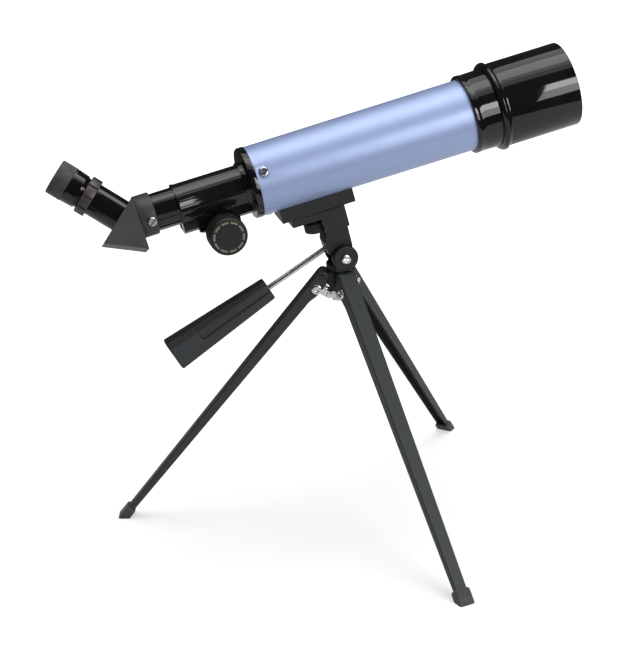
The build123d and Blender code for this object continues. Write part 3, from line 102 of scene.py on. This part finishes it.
def make_panel(name, place, aim, width, height, watts):
    """Rectangular soft light whose face looks from its place towards aim."""
    data = bpy.data.lights.new(name, "AREA")
    data.shape = "RECTANGLE"
    data.size = width
    data.size_y = height
    data.energy = watts
    light = bpy.data.objects.new(name, data)
    bpy.context.scene.collection.objects.link(light)
    light.location = place
    light.rotation_euler = (Vector(aim) - Vector(place)).to_track_quat("-Z", "Y").to_euler()
    light.visible_camera = False


def make_world():
    """White surroundings for the camera, dim ones for reflections, even light for the rest."""
    world = bpy.data.worlds.new("studio")
    bpy.context.scene.world = world
    world.use_nodes = True
    tree = world.node_tree
    tree.nodes.clear()

    def backdrop(colour, strength):
        shader = tree.nodes.new("ShaderNodeBackground")
        shader.inputs["Color"].default_value = (*colour, 1.0)
        shader.inputs["Strength"].default_value = strength
        return shader.outputs["Background"]

    def choose(fac, first, second):
        mix = tree.nodes.new("ShaderNodeMixShader")
        tree.links.new(fac, mix.inputs["Fac"])
        tree.links.new(first, mix.inputs[1])
        tree.links.new(second, mix.inputs[2])
        return mix.outputs["Shader"]

    path = tree.nodes.new("ShaderNodeLightPath")
    lit = backdrop((0.92, 0.95, 1.0), AMBIENT)
    mirrored = backdrop((0.9, 0.94, 1.0), MIRRORED_AMBIENT)
    seen = backdrop((1.0, 1.0, 1.0), 1.0)
    output = tree.nodes.new("ShaderNodeOutputWorld")
    inner = choose(path.outputs["Is Glossy Ray"], lit, mirrored)
    tree.links.new(choose(path.outputs["Is Camera Ray"], inner, seen), output.inputs["Surface"])
    bpy.context.scene.view_settings.view_transform = "Standard"


def make_studio():
    tube_middle = STAND + Vector((0.0, 0.0, 0.3))
    # overhead softbox: a broad sheet with a brighter core, so that its edges fade
    for name, back, height, width, depth, watts in (("overhead_broad", 0.28, 1.45, 2.0, 1.6, 16.0),
                                                    ("overhead_core", 0.06, 1.4, 1.8, 0.62, 6.5),
                                                    ("overhead_edge", -0.66, 1.38, 1.9, 0.3, 1.6)):
        place = tube_middle + Vector((0.1, back, height))
        make_panel(name, place, tube_middle + Vector((0.1, back, 0.0)), width, depth, watts)
    # panel in front on the right, brighter at its top; its left edge ends in mid-tube
    for name, height, watts in (("front_upper", 1.04, 14.0), ("front_lower", 0.54, 6.5)):
        make_panel(name, (0.8, -1.48, height), (0.8, 0.0, height), 1.0, 0.5, watts)


def make_floor():
    """White table: only its near part is mirrored in glossy parts; it fades to white far away."""
    material = bpy.data.materials.new("floor_white")
    material.use_nodes = True
    tree = material.node_tree
    shader = tree.nodes["Principled BSDF"]
    shader.inputs["Base Color"].default_value = (0.6, 0.6, 0.605, 1.0)
    shader.inputs["Roughness"].default_value = 0.7
    shader.inputs["Specular IOR Level"].default_value = 0.2
    shader.inputs["Emission Color"].default_value = (1.0, 1.0, 1.0, 1.0)
    coordinates = tree.nodes.new("ShaderNodeTexCoord")
    length = tree.nodes.new("ShaderNodeVectorMath")
    length.operation = "LENGTH"
    tree.links.new(coordinates.outputs["Object"], length.inputs[0])
    fade = tree.nodes.new("ShaderNodeMapRange")
    for key, number in (("From Min", LIFT_FROM), ("From Max", LIFT_TO), ("To Min", FLOOR_LIFT),
                        ("To Max", FLOOR_LIFT_FAR)):
        fade.inputs[key].default_value = number
    tree.links.new(length.outputs["Value"], fade.inputs["Value"])
    path = tree.nodes.new("ShaderNodeLightPath")
    shown = tree.nodes.new("ShaderNodeMath")
    shown.operation = "MULTIPLY"
    tree.links.new(fade.outputs["Result"], shown.inputs[0])
    tree.links.new(path.outputs["Is Camera Ray"], shown.inputs[1])
    tree.links.new(shown.outputs["Value"], shader.inputs["Emission Strength"])
    for name, inner, outer in (("floor", 0.0, TABLE_R), ("floor_far", TABLE_R, FAR_R)):
        mesh = bpy.data.meshes.new(name)
        sheet = bmesh.new()
        rings = []
        for radius in (inner, outer):
            if radius > 0:
                rings.append([sheet.verts.new(point) for point in ring(radius, 0, TABLE_SIDES)])
        if len(rings) == 1:
            sheet.faces.new(rings[0])
        else:
            for k in range(TABLE_SIDES):
                after = (k + 1) % TABLE_SIDES
                sheet.faces.new((rings[0][k], rings[1][k], rings[1][after], rings[0][after]))
        sheet.to_mesh(mesh)
        sheet.free()
        floor = bpy.data.objects.new(name, mesh)
        bpy.context.scene.collection.objects.link(floor)
        mesh.materials.append(material)
        floor.visible_glossy = inner == 0


make_camera()
make_world()
make_studio()
make_floor()


# ---- materials ----
class Nodes:
    """A material's node tree with short calls for the nodes used here."""

    def __init__(self, name):
        self.material = bpy.data.materials.new(name)
        self.material.use_nodes = True
        self.tree = self.material.node_tree
        self.shader = self.tree.nodes["Principled BSDF"]
        coordinates = self.tree.nodes.new("ShaderNodeTexCoord")
        self.place = coordinates.outputs["Object"]

    def set(self, **values):
        for key, value in values.items():
            self.shader.inputs[key.replace("_", " ")].default_value = value

    def link(self, source, target):
        self.tree.links.new(source, target)

    def noise(self, scale, detail=3.0, rough=0.55):
        texture = self.tree.nodes.new("ShaderNodeTexNoise")
        texture.inputs["Scale"].default_value = scale
        texture.inputs["Detail"].default_value = detail
        texture.inputs["Roughness"].default_value = rough
        self.link(self.place, texture.inputs["Vector"])
        return texture.outputs["Fac"]

    def cells(self, scale, feature="F1", output="Distance"):
        texture = self.tree.nodes.new("ShaderNodeTexVoronoi")
        texture.feature = feature
        texture.inputs["Scale"].default_value = scale
        self.link(self.place, texture.inputs["Vector"])
        return texture.outputs[output]

    def spread(self, value, low, high, out_low, out_high):
        node = self.tree.nodes.new("ShaderNodeMapRange")
        for key, number in (("From Min", low), ("From Max", high), ("To Min", out_low), ("To Max", out_high)):
            node.inputs[key].default_value = number
        self.link(value, node.inputs["Value"])
        return node.outputs["Result"]

    def blend(self, fac, first, second):
        node = self.tree.nodes.new("ShaderNodeMix")
        node.data_type = "RGBA"
        self.link(fac, node.inputs[0])
        for socket, value in ((node.inputs[6], first), (node.inputs[7], second)):
            if isinstance(value, tuple):
                socket.default_value = (*value, 1.0)
            else:
                self.link(value, socket)
        return node.outputs[2]

    def bump(self, height, strength, distance, before=None):
        node = self.tree.nodes.new("ShaderNodeBump")
        node.inputs["Strength"].default_value = strength
        node.inputs["Distance"].default_value = distance
        self.link(height, node.inputs["Height"])
        if before is not None:
            self.link(before, node.inputs["Normal"])
        return node.outputs["Normal"]

    def colour(self, value):
        self.link(value, self.shader.inputs["Base Color"])

    def roughness(self, value):
        self.link(value, self.shader.inputs["Roughness"])

    def normal(self, value):
        self.link(value, self.shader.inputs["Normal"])


def pearl_paint():
    """Pearl blue metallic paint under clear lacquer, with fine flakes."""
    m = Nodes("tube_blue")
    flakes = m.cells(2600.0, output="Color")
    cloud = m.noise(9.0, 4.0)
    base = m.blend(m.spread(cloud, 0.3, 0.7, 0.0, 1.0), (0.27, 0.345, 0.565), (0.29, 0.365, 0.585))
    flake_light = m.spread(flakes, 0.0, 1.0, 0.0, 0.32)
    m.colour(m.blend(flake_light, base, (0.45, 0.53, 0.74)))
    m.set(Metallic=0.4, Coat_Weight=0.4, Coat_Roughness=0.26, Coat_IOR=1.42)
    m.roughness(m.spread(m.noise(120.0, 2.0), 0.3, 0.7, 0.4, 0.47))
    m.normal(m.bump(flakes, 0.06, 0.00004))
    return m.material


def gloss_plastic(name, colour, low, high):
    """Polished black moulding: slightly wavy, with faint handling marks."""
    m = Nodes(name)
    tone = m.spread(m.noise(30.0, 5.0), 0.35, 0.65, 0.0, 1.0)
    lighter = tuple(channel * 1.6 + 0.001 for channel in colour)
    m.colour(m.blend(tone, colour, lighter))
    m.roughness(m.spread(m.noise(220.0, 6.0, 0.7), 0.35, 0.75, low, high))
    m.normal(m.bump(m.noise(60.0, 1.0), 0.025, 0.0001))
    m.set(IOR=1.5)
    return m.material


def satin_plastic(name, colour, low, high, grain=1400.0, depth=0.00005):
    """Spark-eroded moulding texture with slightly polished high spots."""
    m = Nodes(name)
    fine = m.noise(grain, 4.0, 0.6)
    tone = m.spread(m.noise(45.0, 5.0), 0.3, 0.7, 0.0, 1.0)
    lighter = tuple(channel * 1.35 + 0.001 for channel in colour)
    m.colour(m.blend(tone, colour, lighter))
    m.roughness(m.spread(fine, 0.3, 0.7, high, low))
    m.normal(m.bump(fine, 0.35, depth))
    return m.material


def crinkle_paint():
    """Black crackle paint on pressed steel."""
    m = Nodes("leg_black")
    cells = m.cells(900.0, feature="SMOOTH_F1")
    fine = m.noise(1900.0, 3.0, 0.6)
    tone = m.spread(fine, 0.35, 0.65, 0.0, 1.0)
    m.colour(m.blend(tone, (0.018, 0.0205, 0.0215), (0.034, 0.039, 0.041)))
    m.roughness(m.spread(cells, 0.1, 0.6, 0.34, 0.52))
    first = m.bump(cells, 0.5, 0.00012)
    m.normal(m.bump(fine, 0.35, 0.00006, first))
    return m.material


def rubber(name, colour, lighter):
    m = Nodes(name)
    dust = m.spread(m.noise(160.0, 6.0, 0.7), 0.4, 0.75, 0.0, 1.0)
    m.colour(m.blend(dust, colour, lighter))
    m.roughness(m.spread(m.noise(600.0, 3.0), 0.3, 0.7, 0.55, 0.75))
    m.normal(m.bump(m.noise(1500.0, 3.0), 0.25, 0.00005))
    m.set(Sheen_Weight=0.15, Sheen_Roughness=0.5)
    return m.material


def metal(name, colour, low, high, scale=500.0, bump=0.04):
    m = Nodes(name)
    lines = m.noise(scale, 4.0, 0.65)
    darker = tuple(channel * 0.82 for channel in colour)
    m.colour(m.blend(m.spread(lines, 0.3, 0.7, 0.0, 1.0), darker, colour))
    m.roughness(m.spread(lines, 0.3, 0.7, low, high))
    m.normal(m.bump(lines, bump, 0.00003))
    m.set(Metallic=1.0)
    return m.material


def coated_glass():
    m = Nodes("lens_glass")
    haze = m.noise(60.0, 4.0)
    m.colour(m.blend(m.spread(haze, 0.4, 0.7, 0.0, 1.0), (0.93, 0.96, 0.99), (0.86, 0.92, 0.98)))
    m.roughness(m.spread(haze, 0.4, 0.8, 0.01, 0.04))
    m.set(Transmission_Weight=1.0, IOR=1.52, Coat_Weight=0.6, Coat_Tint=(0.55, 0.45, 0.95, 1.0))
    return m.material


def printed_mark():
    m = Nodes("mark_paint")
    wear = m.spread(m.noise(900.0, 5.0, 0.7), 0.35, 0.7, 0.0, 1.0)
    m.colour(m.blend(wear, (0.2, 0.2, 0.13), (0.12, 0.12, 0.08)))
    m.roughness(m.spread(wear, 0.0, 1.0, 0.45, 0.6))
    return m.material


MATERIALS = {
    "tube_blue": pearl_paint(),
    "gloss_black": gloss_plastic("gloss_black", (0.0035, 0.0035, 0.0038), 0.05, 0.1),
    "matte_black": satin_plastic("matte_black", (0.025, 0.0265, 0.0275), 0.42, 0.58),
    "arm_black": satin_plastic("arm_black", (0.0055, 0.0062, 0.0065), 0.4, 0.52),
    "knob_black": satin_plastic("knob_black", (0.0042, 0.0044, 0.0046), 0.42, 0.55),
    "grip_charcoal": satin_plastic("grip_charcoal", (0.017, 0.0195, 0.0215), 0.32, 0.44, 1800.0, 0.00003),
    "grip_brown": satin_plastic("grip_brown", (0.045, 0.036, 0.033), 0.34, 0.48),
    "mark_paint": printed_mark(),
    "leg_black": crinkle_paint(),
    "steel_black": metal("steel_black", (0.07, 0.07, 0.075), 0.35, 0.5),
    "steel": metal("steel", (0.56, 0.56, 0.57), 0.22, 0.4),
    "brass": metal("brass", (0.75, 0.56, 0.26), 0.25, 0.4),
    "chrome": metal("chrome", (0.86, 0.86, 0.87), 0.14, 0.24, scale=260.0, bump=0.03),
    "rubber_black": rubber("rubber_black", (0.032, 0.03, 0.028), (0.06, 0.055, 0.05)),
    "lens_glass": coated_glass(),
    "mirror": metal("mirror", (0.92, 0.93, 0.94), 0.01, 0.03, scale=80.0, bump=0.0),
}


EDGE_ANGLE, EDGE_SEGMENTS, WELD_DISTANCE = radians(38), 2, 1e-6
# edge softening of the moulded pieces, in millimetres
BEVELS = {"tilt_arm": 0.35, "pan_fork": 0.35, "tube_saddle": 0.4, "diagonal_covers": 0.3,
          "diagonal_case": 0.25, "drawtube_collar": 0.3, "focuser_housing": 0.25, "pinion_cover": 0.35,
          "tripod_hub": 0.3, "eyepiece_grip_ring": 0.22, "objective_cell": 0.2, "eyepiece_top": 0.15,
          "drawtube": 0.15, "foot_1": 0.3, "foot_2": 0.3, "foot_3": 0.3}


def soften(piece, width):
    """Narrow bevel along the sharp edges, width in millimetres."""
    bevel = piece.modifiers.new("edge", "BEVEL")
    bevel.width = width * MM
    bevel.segments = EDGE_SEGMENTS
    bevel.limit_method = "ANGLE"
    bevel.angle_limit = EDGE_ANGLE
    bevel.harden_normals = True


def dress_nodes():
    """Every CAD node gets its slot's material, joined corners and, where moulded, softened edges."""
    for entry in frame["record"]["subparts"]:
        name = entry["node"]
        piece = nodes[name]
        piece.data.materials.clear()
        piece.data.materials.append(MATERIALS[entry["material_slot"]])
        weld = piece.modifiers.new("weld", "WELD")
        weld.merge_threshold = WELD_DISTANCE
        if name in BEVELS:
            soften(piece, BEVELS[name])


dress_nodes()


# ---- pieces made here ----
def finish_piece(name, sheet):
    """New object from a bmesh whose faces are made to look outwards."""
    bmesh.ops.recalc_face_normals(sheet, faces=sheet.faces)
    mesh = bpy.data.meshes.new(name)
    sheet.to_mesh(mesh)
    sheet.free()
    piece = bpy.data.objects.new(name, mesh)
    bpy.context.scene.collection.objects.link(piece)
    return piece


TURNED_SIDES, TURNED_SHARP = 40, radians(40)


def turned(name, profile, centre, axis):
    """Closed turned piece: profile is (radius, height) pairs in millimetres along the axis."""
    sheet = bmesh.new()
    turn = axis.to_track_quat("Z", "Y").to_matrix()
    rings = []
    for radius, height in profile:
        points = ring(radius, height, TURNED_SIDES if radius else 1)
        rings.append([sheet.verts.new(centre + turn @ point * MM) for point in points])
    for low, high in zip(rings, rings[1:]):
        for k in range(TURNED_SIDES):
            after = k + 1
            corners = [low[k % len(low)], low[after % len(low)], high[after % len(high)], high[k % len(high)]]
            corners = [corner for i, corner in enumerate(corners) if corner not in corners[:i]]
            sheet.faces.new(corners)
    for face in sheet.faces:
        face.smooth = True
    piece = finish_piece(name, sheet)
    piece.data.set_sharp_from_angle(angle=TURNED_SHARP)
    return piece


def dress(piece, slot, body, *replaced):
    """Give a piece its material slot, the body it rides on and the nodes it stands for."""
    piece.data.materials.append(MATERIALS[slot])
    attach(piece, body)
    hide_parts(*replaced)


def box_middle(node):
    low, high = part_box(node)
    return (Vector(low) + Vector(high)) / 2


# semi-tubular rivets of the brace: the rolled crown leaves a dimple in each head
# (radius, height) in millimetres from the middle of the dimple to the rim of the head, then the shaft
RIVET_SHAFT, RIVET_SEAT = 1.3, 7.27
RIVET_HALF = ((0.0, 7.75), (1.25, 7.75), (1.5, 8.2), (2.0, 8.44), (2.9, 8.38), (3.7, 8.02), (4.15, 7.55),
              (4.2, RIVET_SEAT), (RIVET_SHAFT, RIVET_SEAT))
RIVET_OUTLINE = [*RIVET_HALF, *((radius, -height) for radius, height in reversed(RIVET_HALF))]
for k in (1, 2, 3):
    rivet = turned(f"semi_tubular_rivet_{k}", RIVET_OUTLINE, box_middle(f"brace_rivet_{k}"),
                   joint_axis(f"link_{k}_swing"))
    dress(rivet, "chrome", f"leg_{k}", f"brace_rivet_{k}")

# handle grip: a sloped shoulder along the top, and a long recess in each flank that is open at the head end
# half sizes at the head and the tail, in millimetres
GRIP_WIDE, GRIP_TALL = (6.75, 8.5), (8.0, 12.0)
# corner radius in millimetres, then heights as shares of the half height
GRIP_CORNER, SHOULDER, RECESS_TOP, RECESS_FOOT = 2.2, 0.6, 0.5, -0.12
RECESS_DEPTH, RECESS_SHARE, RECESS_RUN_OUT = 1.4, 0.72, 1.2
CREST_INSET, CREST_EDGE, CREST_DROP, SHOULDER_INSET, SHOULDER_RISE = 2.8, 2.0, 0.35, 0.35, 0.9
RECESS_TOP_SLOPE, RECESS_FOOT_SLOPE = 0.5, 0.9
# distance from the end and inset there, in millimetres, of the rings that round each end
HEAD_ROUND, TAIL_ROUND = ((0, 0.9), (0.3, 0.3), (1.0, 0)), ((1.5, 0), (0.45, 0.4), (0, 1.3))
GRIP_EDGE = 0.3


def grip_section(share, inset, depth):
    """Closed outline square to the handle, as (side, up) in millimetres."""
    wide = GRIP_WIDE[0] + share * (GRIP_WIDE[1] - GRIP_WIDE[0]) - inset
    tall = GRIP_TALL[0] + share * (GRIP_TALL[1] - GRIP_TALL[0]) - inset
    arc = GRIP_CORNER * (1 - cos(pi / 4))
    shoulder, top, foot = SHOULDER * tall, RECESS_TOP * tall, RECESS_FOOT * tall
    right = [(wide - CREST_INSET, tall), (wide - CREST_EDGE, tall - CREST_DROP),
             (wide - SHOULDER_INSET, shoulder + SHOULDER_RISE), (wide, shoulder), (wide, top),
             (wide - depth, top - RECESS_TOP_SLOPE), (wide - depth, foot + RECESS_FOOT_SLOPE), (wide, foot),
             (wide, GRIP_CORNER - tall), (wide - arc, arc - tall), (wide - GRIP_CORNER, -tall)]
    return right + [(-side, up) for side, up in reversed(right)]


def moulded_grip(name, node, joint):
    """Grip lofted along the handle's axis between the ends of the node's own mesh."""
    along = joint_axis(joint)
    start = joint_place(joint)
    up = (Vector((0, 0, 1)) - along * along.z).normalized()
    side = along.cross(up)
    source = nodes[node]
    reach = [(source.matrix_world @ vertex.co - start).dot(along) for vertex in source.data.vertices]
    head, tail = sorted((min(reach), max(reach)), key=abs)
    length = abs(tail - head) / MM
    toward = 1 if tail > head else -1
    recess = RECESS_SHARE * length
    stations = [(at, inset, RECESS_DEPTH) for at, inset in HEAD_ROUND]
    stations += [(recess - RECESS_RUN_OUT, 0, RECESS_DEPTH), (recess, 0, 0)]
    stations += [(length - back, inset, 0) for back, inset in TAIL_ROUND]
    sheet = bmesh.new()
    rings = [[sheet.verts.new(start + along * (head + toward * at * MM) + side * (x * MM) + up * (y * MM))
              for x, y in grip_section(at / length, inset, depth)] for at, inset, depth in stations]
    for low, high in zip(rings, rings[1:]):
        for k in range(len(low)):
            after = (k + 1) % len(low)
            sheet.faces.new((low[k], low[after], high[after], high[k]))
    sheet.faces.new(rings[0])
    sheet.faces.new(rings[-1])
    piece = finish_piece(name, sheet)
    soften(piece, GRIP_EDGE)
    return piece


slots = {entry["node"]: entry["material_slot"] for entry in frame["record"]["subparts"]}
grip = moulded_grip("moulded_handle_grip", "handle_grip", "handle_twist")
dress(grip, slots["handle_grip"], "pan_handle", "handle_grip")
